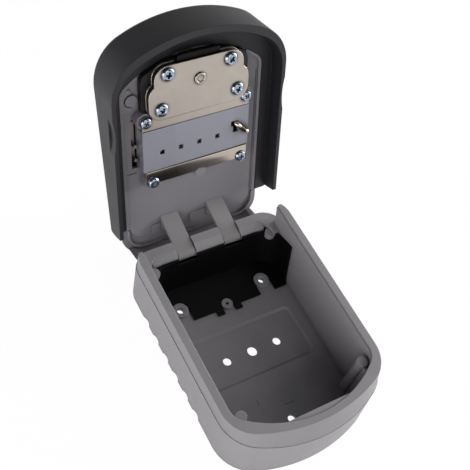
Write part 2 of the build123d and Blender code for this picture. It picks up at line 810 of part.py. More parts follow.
def plate_form(z, thickness, grow):
    """Lock plate outline: wide foot, stepped shoulders and a rounded head."""
    foot_half = plate_half_width + grow
    head_half = plate_head_half_width + grow
    foot = rounded_block(-foot_half, foot_half, plate_shoulder_y - grow, plate_bottom_y + grow, z, z + thickness,
                         plate_foot_r + grow)
    head = rounded_block(-head_half, head_half, plate_top_y - grow, plate_shoulder_y + 2 * plate_head_r,
                         z, z + thickness, plate_head_r + grow)
    return foot + head


def screw_bores(z0, z1, r):
    """The lock case's screw holes."""
    bores = None
    for x, y in lock_screw_places:
        bore = post(x, y, z0, z1, r)
        bores = bore if bores is None else bores + bore
    return bores


def lock_plate():
    """Nickel plate that closes the lock case, standing off on pressed collars."""
    plate = plate_form(plate_z, plate_thickness, 0)
    plate += screw_bores(plate_z + 0.2, plate_z + plate_thickness + plate_gap, screw_shank_r + collar_wall)
    plate -= screw_bores(plate_z - 1, plate_z + 9, screw_shank_r + screw_hole_gap)
    plate -= post(0, rivet_y, plate_z - 1, plate_z + 9, rivet_shank_r)
    return swung_open(plate)


def lock_plate_lower():
    """Second plate, which the latch bolt slides on."""
    z = plate_z + plate_thickness + plate_gap
    plate = plate_form(z, plate_thickness, 0)
    plate -= screw_bores(z - 1, z + 9, screw_shank_r + screw_hole_gap)
    plate -= post(0, rivet_y, z - 1, z + 9, rivet_shank_r)
    slot = link_post_r + link_slot_gap
    plate -= block(-slot, slot, post_y - slot, post_y + bolt_travel + slot, z - 1, z + 9)
    return swung_open(plate)


def lock_housing():
    """Black case under the lock plates."""
    z = plate_z + 2 * plate_thickness + plate_gap
    case = rounded_block(-housing_half_width, housing_half_width, housing_near_y, housing_far_y + 12, z, panel_z,
                         housing_corner_r)
    case &= block(-60, 60, -90, housing_far_y, 0, 90)
    case &= extrude(tray_plan(z, pocket_gap), panel_z - z)
    case -= screw_bores(z - 1, panel_z + 1, screw_shank_r)
    slot = link_post_r + link_slot_gap
    case -= block(-slot, slot, post_y - slot, post_y + bolt_travel + slot, z - 1, panel_z + 1)
    return swung_open(case)


def lock_rivet():
    """Rivet in the middle of the lock plate, which also guides the bolt."""
    z = plate_z + 2 * plate_thickness + plate_gap
    rivet = post(0, rivet_y, plate_z - rivet_flange_height, plate_z, rivet_flange_r)
    rivet += post(0, rivet_y, plate_z - rivet_head_height, plate_z, rivet_head_r)
    rivet += post(0, rivet_y, plate_z, z, rivet_shank_r)
    return swung_open(rivet)


def screw(x, y, z, head_r, tip_z):
    """Pan head screw whose head sits at z and whose shank runs to tip_z."""
    dome_r = (head_r ** 2 + screw_head_height ** 2) / (2 * screw_head_height)
    dome = Pos(x, y, z - screw_head_height + dome_r) * Sphere(dome_r)
    head = dome & block(x - head_r, x + head_r, y - head_r, y + head_r, z - screw_head_height, z)
    return head + post(x, y, z - 0.2, tip_z, screw_shank_r)


def lock_screws():
    """Four screws through the lock case."""
    return Compound(children=[swung_open(screw(x, y, plate_z, screw_head_r, panel_z + panel_thickness))
                              for x, y in lock_screw_places])


def bracket_screws():
    """Four screws that hold the brackets."""
    return Compound(children=[swung_open(screw(x, y, bracket_z, bracket_head_r, panel_z + panel_thickness))
                              for x, y in upper_screw_places + lower_screw_places])


def latch_bolt():
    """Sprung bolt between the lock plates, with a sloped nose."""
    z = plate_z + plate_thickness + bolt_gap
    bolt = rounded_block(-bolt_half_width, bolt_half_width, bolt_tip_y, bolt_heel_y, z, z + bolt_thickness,
                         bolt_corner_r)
    nose = [(bolt_tip_y - 1, z - 1), (bolt_tip_y + 1.6, z - 1), (bolt_tip_y - 0.2, z + bolt_thickness * 0.8),
            (bolt_tip_y - 1, z + bolt_thickness * 0.8)]
    bolt -= side_prism(nose, -20, 20)
    slot = rivet_shank_r + bolt_gap
    bolt -= block(-slot, slot, rivet_y - bolt_travel - slot, rivet_y + slot, z - 1, z + 3)
    bolt -= post(0, post_y, z - 1, z + 3, link_post_r + pin_running_gap)
    return swung_open(bolt)


def side_link():
    """Link from the slider to the bolt, with two guide pins in the tray's slot."""
    y0 = link_near_y
    link = block(link_x - link_width / 2, link_x + link_width / 2, y0, link_far_y, link_z, link_z + link_thickness)
    link += block(link_x, link_foot_half, y0, y0 + link_foot_length, link_z, link_z + link_thickness)
    link += block(-link_foot_half, link_foot_half, post_y - link_foot_tail, y0 + 1, link_z, link_z + link_thickness)
    bolt_z = plate_z + plate_thickness + bolt_gap
    link += post(0, post_y, bolt_z + 0.3, link_z + 0.5, link_post_r)
    for y in link_pin_places:
        link += post(link_x, y, panel_z - link_pin_reach, link_z + 0.5, link_pin_r)
    return swung_open(link)


def open_slider():
    """Ribbed slider on the front that draws the bolt back."""
    y0, y1 = stem_span()
    middle = (y0 + y1) / 2
    near_y = middle - slider_length / 2
    far_end_y = middle + slider_length / 2
    low = cover_front(near_y, -slider_gap)
    top = low + slider_height
    pad = rounded_block(link_x - slider_width / 2, link_x + slider_width / 2, near_y, far_end_y,
                        cover_front(far_end_y, 0) - 1, top, slider_corner_r)
    pad &= front_wedge(-slider_gap)
    for number in range(slider_ribs):
        y = middle + (number - (slider_ribs - 1) / 2) * slider_rib_pitch
        pad -= block(link_x - slider_width, link_x + slider_width, y - slider_groove_half,
                     y + slider_groove_half, top - slider_groove_depth, 90)
    stem = block(link_x - stem_width / 2, link_x + stem_width / 2, y0, y1, link_z + link_thickness,
                 low + 0.5)
    return swung_open(pad + stem)


def bracket_upper():
    """Nickel strip between the lock plate and the dial cover."""
    z = bracket_z
    strip = block(upper_bracket_left, upper_bracket_right, upper_bracket_near_y + upper_strip_step,
                  upper_bracket_far_y, z, z + bracket_thickness)
    strip += block(-upper_strip_narrow, upper_strip_narrow, upper_bracket_near_y, upper_bracket_far_y,
                   z, z + bracket_thickness)
    for x, y in upper_screw_places:
        strip += post(x, y, z, z + bracket_thickness, bracket_ear_r)
        strip -= post(x, y, z - 1, z + 9, screw_shank_r + screw_hole_gap)
    return swung_open(strip)


def bracket_lower():
    """Nickel strip below the dial cover, with its near edge bent down."""
    z = bracket_z
    w = lower_bracket_half_width
    near_y = lower_bracket_near_y
    strip = block(-w, w, near_y, lower_bracket_far_y, z, z + bracket_thickness)
    strip += block(lower_fold_inset - w, w - lower_fold_inset, near_y, near_y + bracket_thickness, z, panel_z)
    strip += post(lower_bump_x, lower_bracket_far_y + lower_bump_reach - lower_bump_r, z, z + bracket_thickness,
                  lower_bump_r)
    fold = [e for e in strip.edges() if abs(e.center().Y - near_y) < 0.01 and abs(e.center().Z - z) < 0.01]
    strip = fillet(fold, lower_fold_r)
    for x, y in lower_screw_places:
        strip += post(x, y, z, z + bracket_thickness, bracket_ear_r)
        strip -= post(x, y, z - 1, z + 9, screw_shank_r + screw_hole_gap)
    return swung_open(strip)


def dial_cover():
    """Grey plastic box over the dials, with a sight hole for each."""
    z = bracket_z
    wall = dial_cover_wall
    cover = block(dial_cover_left, dial_cover_right, dial_cover_near_y, dial_cover_far_y, z, panel_z)
    cover -= block(dial_cover_left + wall, dial_cover_right - wall, dial_cover_near_y + wall,
                   dial_cover_far_y - wall, z + wall, panel_z + 1)
    for number in range(dial_count):
        x = dial_first_x + number * dial_pitch
        cover -= block(x - sight_hole_width / 2, x + sight_hole_width / 2, dial_y - sight_hole_length / 2,
                       dial_y + sight_hole_length / 2, z - 1, z + wall + 1)
    half = reset_slot_width / 2 + reset_slot_gap
    cover -= block(reset_x - half, reset_x + half, reset_y - half, reset_y + reset_slot_length, z - 1,
                   z + wall + 1)
    cover -= block(reset_x - half - reset_slot_foot, reset_x + half, reset_y - half, reset_y + half, z - 1,
                   z + wall + 1)
    return swung_open(cover)


def dial(number):
    """Number wheel with a finger flute between each pair of numbers."""
    x = dial_first_x + number * dial_pitch
    half = dial_width / 2
    wheel = cross_rod(x - half + dial_hub_side, x + half - dial_hub_side, 0, 0, dial_r)
    wheel += cross_rod(x - half, x + half, 0, 0, dial_hub_r)
    step = 360 / dial_numbers
    for place in range(dial_numbers):
        angle = math.radians((place + 0.5) * step)
        wheel -= cross_rod(x - half - 1, x + half + 1, (dial_r + 0.5) * math.cos(angle),
                           (dial_r + 0.5) * math.sin(angle), dial_flute_r)
    wheel -= cross_rod(x - half - 1, x + half + 1, 0, 0, shaft_r + shaft_running_gap)
    return swung_open(Pos(0, dial_y, dial_z) * wheel)


def dial_shaft():
    """Steel shaft that the dials turn on."""
    left, right = shaft_ends()
    return swung_open(cross_rod(left, right, dial_y, dial_z, shaft_r))


def reset_lever():
    """Bent lever over the dial cover, used to set a new number."""
    top = bracket_z - reset_clear - reset_r
    length = math.hypot(reset_tip_x - reset_x, reset_tip_y - reset_y)
    turn = math.degrees(math.atan2(reset_tip_y - reset_y, reset_tip_x - reset_x))
    bar = Pos(reset_x, reset_y, top) * Rot(0, 0, turn) * Pos(length / 2, 0, 0) * Rot(0, 90, 0)
    lever = bar * Cylinder(reset_r, length)
    lever += post(reset_x, reset_y, top, panel_z + 1, reset_r)
    lever += Pos(reset_x, reset_y, top) * Sphere(reset_r)
    lever += Pos(reset_tip_x, reset_tip_y, top) * Sphere(reset_r + reset_ball)
    return swung_open(lever)


def write(name, shape):
    """Write one piece."""
    export_step(shape, os.path.join("parts", name + ".step"))


write("body_shell", body_shell())
write("hinge_liner", hinge_liner())
write("hinge_pin", hinge_pin())
write("hinge_arm_left", hinge_arm(-1))
write("hinge_arm_right", hinge_arm(1))
write("door_tray", door_tray())
write("weather_cover", weather_cover())
write("lock_housing", lock_housing())
write("lock_plate", lock_plate())
write("lock_plate_lower", lock_plate_lower())
write("lock_rivet", lock_rivet())
write("lock_screws", lock_screws())
write("latch_bolt", latch_bolt())
write("side_link", side_link())
write("open_slider", open_slider())
write("dial_bracket_upper", bracket_upper())
write("dial_bracket_lower", bracket_lower())
write("dial_cover", dial_cover())
write("dial_shaft", dial_shaft())
write("reset_lever", reset_lever())
write("bracket_screws", bracket_screws())
for number in range(dial_count):
    write("dial_" + str(number + 1), dial(number))
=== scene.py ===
import json
import math

import bpy
from mathutils import Euler, Matrix, Vector


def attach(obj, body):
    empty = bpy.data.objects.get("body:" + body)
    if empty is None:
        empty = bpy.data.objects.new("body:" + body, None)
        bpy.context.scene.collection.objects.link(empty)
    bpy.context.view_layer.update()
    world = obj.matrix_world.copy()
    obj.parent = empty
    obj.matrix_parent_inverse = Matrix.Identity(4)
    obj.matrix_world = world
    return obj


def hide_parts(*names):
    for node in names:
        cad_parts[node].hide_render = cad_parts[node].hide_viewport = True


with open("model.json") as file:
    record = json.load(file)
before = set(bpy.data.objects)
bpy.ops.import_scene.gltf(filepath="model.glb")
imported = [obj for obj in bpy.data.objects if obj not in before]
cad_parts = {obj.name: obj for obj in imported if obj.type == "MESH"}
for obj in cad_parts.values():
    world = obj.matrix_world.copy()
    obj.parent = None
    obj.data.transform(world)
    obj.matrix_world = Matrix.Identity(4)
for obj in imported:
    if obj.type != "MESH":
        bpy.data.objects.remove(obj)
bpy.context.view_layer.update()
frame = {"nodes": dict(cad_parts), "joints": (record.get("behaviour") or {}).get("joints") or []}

nodes = frame["nodes"]
mm = 0.001
print("the frame is loaded:", len(nodes), "nodes")

# the door is modelled as if shut, then turned about the hinge to where it rests, open
hinge = next(joint for joint in frame["joints"] if joint["name"] == "door_hinge")
hingeAt = Vector(hinge["pos_m"])
openAngle = math.radians(max(hinge["range_deg"]))
doorTurn = (Matrix.Translation(hingeAt) @ Matrix.Rotation(-openAngle, 4, "X")
            @ Matrix.Translation(-hingeAt))


def linear(red, green, blue):
    def channel(value):
        value /= 255
        return value / 12.92 if value <= 0.04045 else ((value + 0.055) / 1.055) ** 2.4
    return (channel(red), channel(green), channel(blue), 1)


def shade(colour, share):
    return tuple(channel * share for channel in colour[:3]) + (1,)


class Signal:  # a shader socket that takes plain arithmetic
    def __init__(self, graph, socket):
        self.graph = graph
        self.socket = socket

    def maths(self, operation, first, second):
        return self.graph.node("ShaderNodeMath", {"operation": operation}, {0: first, 1: second})

    def __add__(self, other):
        return self.maths("ADD", self, other)

    def __sub__(self, other):
        return self.maths("SUBTRACT", self, other)

    def __rsub__(self, other):
        return self.maths("SUBTRACT", other, self)

    def __mul__(self, other):
        return self.maths("MULTIPLY", self, other)

    def __gt__(self, other):
        return self.maths("GREATER_THAN", self, other)

    def __lt__(self, other):
        return self.maths("LESS_THAN", self, other)

    __radd__ = __add__
    __rmul__ = __mul__


class Graph:  # the nodes of a material or of the world
    def __init__(self, tree):
        self.tree = tree

    def feed(self, socket, value):
        if isinstance(value, Signal):
            self.tree.links.new(value.socket, socket)
        else:
            socket.default_value = value

    def node(self, kind, settings=None, sockets=None, output=0):
        made = self.tree.nodes.new(kind)
        for name, value in (settings or {}).items():
            if name == "stops":
                self.stops(made.color_ramp, value)
            else:
                setattr(made, name, value)
        for name, value in (sockets or {}).items():
            self.feed(made.inputs[name], value)
        return Signal(self, made.outputs[output])

    def stops(self, ramp, stops):
        while len(ramp.elements) < len(stops):
            ramp.elements.new(0.5)
        for element, (place, colour) in zip(ramp.elements, stops):
            element.position = place
            element.color = colour

    def ramp(self, value, *stops):
        return self.node("ShaderNodeValToRGB", {"stops": stops}, {"Fac": value})

    def blend(self, factor, first, second):
        sockets = {0: factor, 6: first, 7: second}
        return self.node("ShaderNodeMix", {"data_type": "RGBA"}, sockets, output=2)


class Paint(Graph):  # one material
    def __init__(self, name, **constants):
        self.material = bpy.data.materials.new(name)
        self.material.use_nodes = True
        super().__init__(self.material.node_tree)
        self.shader = self.tree.nodes["Principled BSDF"]
        for socket, value in constants.items():
            self.shader.inputs[socket.replace("_", " ")].default_value = value

    def place(self, stretch=(1, 1, 1)):
        onObject = self.node("ShaderNodeTexCoord", output="Object")
        return self.node("ShaderNodeMapping", {}, {"Vector": onObject, "Scale": stretch})

    def noise(self, size, detail, stretch=(1, 1, 1), rough=0.5):
        sockets = {"Vector": self.place(stretch), "Scale": 1 / size, "Detail": detail, "Roughness": rough}
        return self.node("ShaderNodeTexNoise", {}, sockets)

    def bump(self, height, depth, normal=None):
        sockets = {"Height": height, "Distance": depth, "Strength": 1.0}
        if normal:
            sockets["Normal"] = normal
        return self.node("ShaderNodeBump", {}, sockets)

    def between(self, operation, first, second):  # a number from two vectors
        settings = {"operation": operation}
        return self.node("ShaderNodeVectorMath", settings, {0: first, 1: second}, output="Value")

    def edges(self, radius, gain=4.0, samples=6):  # the rounded normal, and how near an edge it is
        rounded = self.node("ShaderNodeBevel", {"samples": samples}, {"Radius": radius})
        flat = self.node("ShaderNodeNewGeometry", output="Normal")
        return rounded, (1.0 - self.between("DOT_PRODUCT", rounded, flat)) * gain

    def crease(self, reach, samples=6):  # 1 in the open, less in gaps and corners
        settings = {"samples": samples}
        return self.node("ShaderNodeAmbientOcclusion", settings, {"Distance": reach}, output="AO")

    def set(self, **signals):
        for socket, value in signals.items():
            self.feed(self.shader.inputs[socket.replace("_", " ")], value)
        return self.material


# shares of the noises, where the ramp from dark to pale runs, and tones as shares of the colour
plasticMix = {"cloud": 0.8, "grain": 0.2, "grainRough": 0.6, "dark": 0.3, "pale": 0.7, "wornAndHighlitTone": 1.7,
              "paintedShadeTone": 0.3, "hiddenFrom": 0.5, "hiddenGain": 6.0, "hiddenTone": 0.01,
              "litBandShare": 0.5, "litBandTone": 1.12}
metalMix = {"cloud": 0.6, "streak": 0.4, "dark": 0.3, "pale": 0.7, "wornAndHighlitTone": 1.5}


def unevenTone(paint, pattern, look, mix):
    colour = linear(*look["colour"])
    return paint.ramp(pattern, (mix["dark"], shade(colour, 1 - look["unevenness"])),
                      (mix["pale"], shade(colour, 1 + look["unevenness"])))


def unevenRoughness(pattern, look):
    return pattern * look["roughnessSpread"] + (look["roughness"] - look["roughnessSpread"] / 2)


def mouldedPlastic(name, look):
    mix = plasticMix
    paint = Paint(name, Specular_IOR_Level=look["shine"])
    cloud = paint.noise(look["cloudSize"], detail=3)
    grain = paint.noise(look["grainSize"], detail=2, rough=mix["grainRough"])
    colour = linear(*look["colour"])
    tone = unevenTone(paint, cloud * mix["cloud"] + grain * mix["grain"], look, mix)
    rounded, edge = paint.edges(look["edge"])
    if "wornAndHighlit" in look:  # edges a little paler, partly rubbed wear and partly a painted highlight
        tone = paint.blend(edge * look["wornAndHighlit"], tone, shade(colour, mix["wornAndHighlitTone"]))
    if "paintedShade" in look:  # painted shade: gaps and corners are darkened where occlusion is high
        paintedShadeMask = 1.0 - paint.crease(look["paintedShadeReach"])
        tone = paint.blend(paintedShadeMask * look["paintedShade"], tone, shade(colour, look.get("paintedShadeTone", mix["paintedShadeTone"])))
    if "hidden" in look:  # deep inside, where only a small hole lets light in, it is dark
        deep = mix["hiddenFrom"] - paint.crease(look["hidden"])
        tone = paint.blend(deep * mix["hiddenGain"], tone, shade(colour, mix["hiddenTone"]))
    if "litBand" in look:  # painted light: a strip between two planes across X is painted paler, as if a raised panel caught more light
        across = paint.node("ShaderNodeSeparateXYZ", {}, {0: paint.place()}, output="X")
        left, right = look["litBand"]
        inside = (across > left) * (across < right)
        tone = paint.blend(inside * mix["litBandShare"], tone, shade(colour, mix["litBandTone"]))
    normal = paint.bump(grain, look["grainDepth"], normal=rounded)
    return paint.set(Base_Color=tone, Roughness=unevenRoughness(cloud, look), Normal=normal)


def platedMetal(name, look):
    mix = metalMix
    paint = Paint(name, Metallic=1.0)
    streak = paint.noise(look["streakSize"], detail=4, stretch=look["streakStretch"])
    cloud = paint.noise(look["cloudSize"], detail=3)
    colour = linear(*look["colour"])
    tone = unevenTone(paint, cloud * mix["cloud"] + streak * mix["streak"], look, mix)
    rounded, edge = paint.edges(look["edge"])
    # edges a little paler, partly rubbed wear and partly a painted highlight
    tone = paint.blend(edge * look["wornAndHighlit"], tone, shade(colour, mix["wornAndHighlitTone"]))
    # painted shade: gaps and corners are darkened where occlusion is high
    paintedShadeMask = 1.0 - paint.crease(look["paintedShadeReach"])
    tone = paint.blend(paintedShadeMask * look["paintedShade"], tone, shade(colour, look["paintedShadeTone"]))
    normal = paint.bump(streak, look["streakDepth"], normal=rounded)
    return paint.set(Base_Color=tone, Roughness=unevenRoughness(streak, look), Normal=normal)


bodyGrey = mouldedPlastic("bodyGrey", {
    "colour": (150, 147, 151), "shine": 0.4, "roughness": 0.5, "roughnessSpread": 0.1, "unevenness": 0.04,
    "cloudSize": 14 * mm, "grainSize": 0.35 * mm, "grainDepth": 0.02 * mm, "edge": 0.4 * mm,
    "wornAndHighlit": 0.9, "paintedShade": 0.7, "paintedShadeReach": 4 * mm})
# painted shade: the body's grey plastic, made darker on the door's tray and its stud
trayPaintedShadeGrey = mouldedPlastic("trayPaintedShadeGrey", {
    "colour": (130, 127, 132), "shine": 0.4, "roughness": 0.48, "roughnessSpread": 0.1, "unevenness": 0.04,
    "cloudSize": 12 * mm, "grainSize": 0.35 * mm, "grainDepth": 0.015 * mm, "edge": 0.35 * mm,
    "wornAndHighlit": 0.4, "paintedShade": 0.6, "paintedShadeReach": 2 * mm})
strapGrey = mouldedPlastic("strapGrey", {
    "colour": (146, 143, 145), "shine": 0.4, "roughness": 0.5, "roughnessSpread": 0.08, "unevenness": 0.03,
    "cloudSize": 9 * mm, "grainSize": 0.3 * mm, "grainDepth": 0.012 * mm, "edge": 0.35 * mm,
    "wornAndHighlit": 0.4, "paintedShade": 0.3, "paintedShadeReach": 2 * mm})
coverBlack = mouldedPlastic("coverBlack", {
    "colour": (33, 31, 37), "shine": 0.4, "roughness": 0.5, "roughnessSpread": 0.1, "unevenness": 0.06,
    "cloudSize": 18 * mm, "grainSize": 0.3 * mm, "grainDepth": 0.02 * mm, "edge": 0.6 * mm,
    "paintedShade": 0.8, "paintedShadeReach": 14 * mm})
linerBlack = mouldedPlastic("linerBlack", {
    "colour": (8, 8, 9), "shine": 0.16, "roughness": 0.5, "roughnessSpread": 0.12, "unevenness": 0.1,
    "cloudSize": 10 * mm, "grainSize": 0.4 * mm, "grainDepth": 0.012 * mm, "edge": 0.4 * mm})
coverPlastic = mouldedPlastic("coverPlastic", {
    "colour": (134, 135, 145), "shine": 0.5, "roughness": 0.36, "roughnessSpread": 0.08, "unevenness": 0.03,
    "cloudSize": 11 * mm, "grainSize": 0.3 * mm, "grainDepth": 0.006 * mm, "edge": 0.25 * mm, "wornAndHighlit": 0.3,
    "litBand": (-14.0 * mm, 22.7 * mm), "paintedShade": 2.0, "paintedShadeReach": 3 * mm, "paintedShadeTone": 0.03})
housingBlack = mouldedPlastic("housingBlack", {
    "colour": (22, 21, 23), "shine": 0.4, "roughness": 0.45, "roughnessSpread": 0.1, "unevenness": 0.06,
    "cloudSize": 8 * mm, "grainSize": 0.3 * mm, "grainDepth": 0.012 * mm, "edge": 0.3 * mm})
dialBlack = mouldedPlastic("dialBlack", {
    "colour": (26, 26, 28), "shine": 0.5, "roughness": 0.4, "roughnessSpread": 0.1, "unevenness": 0.06,
    "cloudSize": 4 * mm, "grainSize": 0.2 * mm, "grainDepth": 0.008 * mm, "edge": 0.2 * mm,
    "paintedShade": 0.9, "paintedShadeReach": 4 * mm})
numberWhite = mouldedPlastic("numberWhite", {
    "colour": (226, 226, 222), "shine": 0.4, "roughness": 0.5, "roughnessSpread": 0.1, "unevenness": 0.03,
    "cloudSize": 1.2 * mm, "grainSize": 0.1 * mm, "grainDepth": 0.004 * mm, "edge": 0.05 * mm,
    "hidden": 7 * mm})
nickel = platedMetal("nickel", {
    "colour": (180, 171, 163), "roughness": 0.32, "roughnessSpread": 0.1, "unevenness": 0.06,
    "cloudSize": 9 * mm, "streakSize": 0.5 * mm, "streakStretch": (0.06, 1, 1), "streakDepth": 0.003 * mm,
    "edge": 0.6 * mm, "wornAndHighlit": 0.6, "paintedShade": 2.2, "paintedShadeReach": 1.7 * mm, "paintedShadeTone": 0.08})
brightNickel = platedMetal("brightNickel", {
    "colour": (184, 175, 166), "roughness": 0.15, "roughnessSpread": 0.06, "unevenness": 0.05,
    "cloudSize": 9 * mm, "streakSize": 0.5 * mm, "streakStretch": (0.06, 1, 1), "streakDepth": 0.003 * mm,
    "edge": 0.2 * mm, "wornAndHighlit": 0.6, "paintedShade": 0.8, "paintedShadeReach": 1.2 * mm, "paintedShadeTone": 0.12})
darkSteel = platedMetal("darkSteel", {
    "colour": (34, 32, 32), "roughness": 0.4, "roughnessSpread": 0.12, "unevenness": 0.1,
    "cloudSize": 5 * mm, "streakSize": 0.3 * mm, "streakStretch": (0.1, 1, 1), "streakDepth": 0.003 * mm,
    "edge": 0.3 * mm, "wornAndHighlit": 3.0, "paintedShade": 0.9, "paintedShadeReach": 2 * mm, "paintedShadeTone": 0.2})
zinc = platedMetal("zinc", {
    "colour": (160, 172, 188), "roughness": 0.12, "roughnessSpread": 0.06, "unevenness": 0.1,
    "cloudSize": 1.5 * mm, "streakSize": 0.2 * mm, "streakStretch": (1, 1, 1), "streakDepth": 0.004 * mm,
    "edge": 0.12 * mm, "wornAndHighlit": 0.5, "paintedShade": 1.5, "paintedShadeReach": 1.3 * mm, "paintedShadeTone": 0.06})
steel = platedMetal("steel", {
    "colour": (196, 190, 180), "roughness": 0.16, "roughnessSpread": 0.06, "unevenness": 0.06,
    "cloudSize": 4 * mm, "streakSize": 0.2 * mm, "streakStretch": (0.2, 1, 1), "streakDepth": 0.003 * mm,
    "edge": 0.15 * mm, "wornAndHighlit": 0.5, "paintedShade": 0.8, "paintedShadeReach": 1.5 * mm, "paintedShadeTone": 0.2})
print("the finishes are mixed")

finishes = {
    "body_shell": bodyGrey, "hinge_liner": linerBlack, "hinge_pin": steel,
    "hinge_arm_left": strapGrey, "hinge_arm_right": strapGrey, "door_tray": trayPaintedShadeGrey,
    "weather_cover": coverBlack, "lock_housing": housingBlack, "lock_plate": nickel,
    "lock_plate_lower": nickel, "lock_rivet": nickel, "lock_screws": zinc, "latch_bolt": darkSteel,
    "side_link": steel, "open_slider": coverBlack, "dial_bracket_upper": nickel,
    "dial_bracket_lower": brightNickel, "dial_cover": coverPlastic, "dial_shaft": steel,
    "reset_lever": steel, "bracket_screws": zinc,
    "dial_1": dialBlack, "dial_2": dialBlack, "dial_3": dialBlack, "dial_4": dialBlack,
}
for name, material in finishes.items():
    nodes[name].data.materials.clear()
    nodes[name].data.materials.append(material)
print("every node has its finish")


mergeReach = 0.002 * mm  # corners nearer than this become one
quarter = math.pi / 2


def deselect():
    bpy.ops.object.select_all(action="DESELECT")


def alone(piece):
    deselect()
    piece.select_set(True)
    bpy.context.view_layer.objects.active = piece
    return piece


def settled(piece):  # its place goes into its mesh
    alone(piece)
    bpy.ops.object.transform_apply(location=True, rotation=True, scale=True)
    return piece


def boxBetween(low, high):
    deselect()
    bpy.ops.mesh.primitive_cube_add(size=1, location=[(a + b) / 2 for a, b in zip(low, high)],
                                    scale=[b - a for a, b in zip(low, high)])
    return settled(bpy.context.object)


def diskBetween(x, y, radius, low, high, vertices=48):  # its axis runs in depth, along Z
    deselect()
    bpy.ops.mesh.primitive_cylinder_add(vertices=vertices, radius=radius, depth=high - low,
                                        location=(x, y, (low + high) / 2))
    return settled(bpy.context.object)


def roller(radius, width, vertices, y=0, z=0):  # its axis runs across, along X
    deselect()
    bpy.ops.mesh.primitive_cylinder_add(vertices=vertices, radius=radius, depth=width, location=(0, y, z),
                                        rotation=(0, quarter, 0))
    return settled(bpy.context.object)


def facesUp(face):
    return face.normal.z > 0.9


def facesDown(face):
    return face.normal.z < -0.9


def facesAcross(face):
    return abs(face.normal.x) > 0.9


def flatMiddle(radius):  # the large flat face that a rounded head keeps on top
    return lambda face: face.normal.z > 0.999 and face.area > radius ** 2


def edited(piece, pick, *steps):  # each step, an operator and its values, works on the picked faces
    alone(piece)
    for corner in piece.data.vertices:
        corner.select = False
    for edge in piece.data.edges:
        edge.select = False
    for face in piece.data.polygons:
        face.select = bool(pick(face))
    bpy.ops.object.mode_set(mode="EDIT")
    for operator, values in steps:
        operator(**values)
    bpy.ops.object.mode_set(mode="OBJECT")
    return piece


def rounding(reach, segments):
    return bpy.ops.mesh.bevel, {"offset": reach, "segments": segments, "profile": 0.5, "affect": "EDGES"}


def inset(reach):
    return bpy.ops.mesh.inset, {"thickness": reach}


def lift(height):
    return bpy.ops.transform.translate, {"value": (0, 0, height)}


def combined(piece, other, operation):
    alone(piece)
    modifier = piece.modifiers.new("combine", "BOOLEAN")
    modifier.operation = operation
    modifier.solver = "EXACT"
    modifier.object = other
    bpy.ops.object.modifier_apply(modifier=modifier.name)
    bpy.data.objects.remove(other, do_unlink=True)


def cleaned(piece):  # corners merged and faces turned outwards
    alone(piece)
    bpy.ops.object.mode_set(mode="EDIT")
    bpy.ops.mesh.select_all(action="SELECT")
    bpy.ops.mesh.remove_doubles(threshold=mergeReach)
    bpy.ops.mesh.normals_make_consistent(inside=False)
    bpy.ops.object.mode_set(mode="OBJECT")
    return piece


def asMesh(piece):
    alone(piece)
    bpy.ops.object.convert(target="MESH")
    return bpy.context.object


def joined(pieces):
    deselect()
    for piece in pieces:
        piece.select_set(True)
    bpy.context.view_layer.objects.active = pieces[0]
    bpy.ops.object.join()
    return pieces[0]


def copied(piece):
    alone(piece)
    bpy.ops.object.duplicate(linked=False)
    return bpy.context.object


def finished(piece, name, material, body, stands=None, angle=32):
    cleaned(settled(piece))
    bpy.ops.object.shade_smooth_by_angle(angle=math.radians(angle))
    piece.data.transform(doorTurn)
    piece.name = name
    piece.data.materials.clear()
    piece.data.materials.append(material)
    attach(piece, body)
    if stands:
        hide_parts(stands)


# cross recess screws: one is modelled head up, then copied to each place (x, y in mm, turn)
screwLook = {
    "lockHead": 3.9 * mm, "bracketHead": 3.4 * mm, "lockSeat": 34.3 * mm, "bracketSeat": 36.2 * mm,
    "lock": ((-19.2, -50.4, 12), (18.6, -50.4, 40), (23.5, -30.8, 22), (-23.1, -30.0, 30)),
    "bracket": ((-31.8, -23.2, 25), (30.6, -23.2, 38), (-28.2, 17.4, 15), (28.6, 17.1, 5)),
    # shares of the head's radius
    "height": 0.46, "flatInset": 0.2, "recess": 0.5, "arm": 0.36,
    # shares of the head's height
    "round": 0.86, "flatRise": 0.05, "recessTop": 1.05, "recessDepth": 0.85,
    "roundSteps": 7, "taper": 0.5,
    "shank": 1.5 * mm, "shankVertices": 24, "overlap": 0.05 * mm, "end": 45.0 * mm}


def screwHead(radius):
    look = screwLook
    height = radius * look["height"]
    head = diskBetween(0, 0, radius, 0, height)
    edited(head, facesUp, rounding(height * look["round"], look["roundSteps"]))
    edited(head, flatMiddle(radius), inset(radius * look["flatInset"]), lift(height * look["flatRise"]))
    # a cross that narrows downwards is cut out of the top
    arms = []
    for turn in (0, quarter):
        deselect()
        bpy.ops.mesh.primitive_cube_add(
            size=1, location=(0, 0, height * (look["recessTop"] - look["recessDepth"] / 2)),
            rotation=(0, 0, turn),
            scale=(2 * radius * look["recess"], radius * look["arm"], height * look["recessDepth"]))
        narrowed = (bpy.ops.transform.resize, {"value": (look["taper"], look["taper"], 1)})
        arms.append(edited(settled(bpy.context.object), facesDown, narrowed))
    for arm in arms:
        combined(head, arm, "DIFFERENCE")
    return head


def placedScrews(kind, radius, seat):
    model = screwHead(radius)
    top = screwLook["overlap"]
    low = top - (screwLook["end"] - seat)
    combined(model, diskBetween(0, 0, screwLook["shank"], low, top, screwLook["shankVertices"]), "UNION")
    for number, (x, y, turn) in enumerate(screwLook[kind]):
        piece = copied(model)
        piece.rotation_euler = (math.pi, 0, math.radians(turn))
        piece.location = (x * mm, y * mm, seat)
        finished(piece, kind + "Screw" + str(number + 1), zinc, "door", kind + "_screws")
    bpy.data.objects.remove(model, do_unlink=True)


placedScrews("lock", screwLook["lockHead"], screwLook["lockSeat"])
placedScrews("bracket", screwLook["bracketHead"], screwLook["bracketSeat"])
print("eight cross recess screws are in")

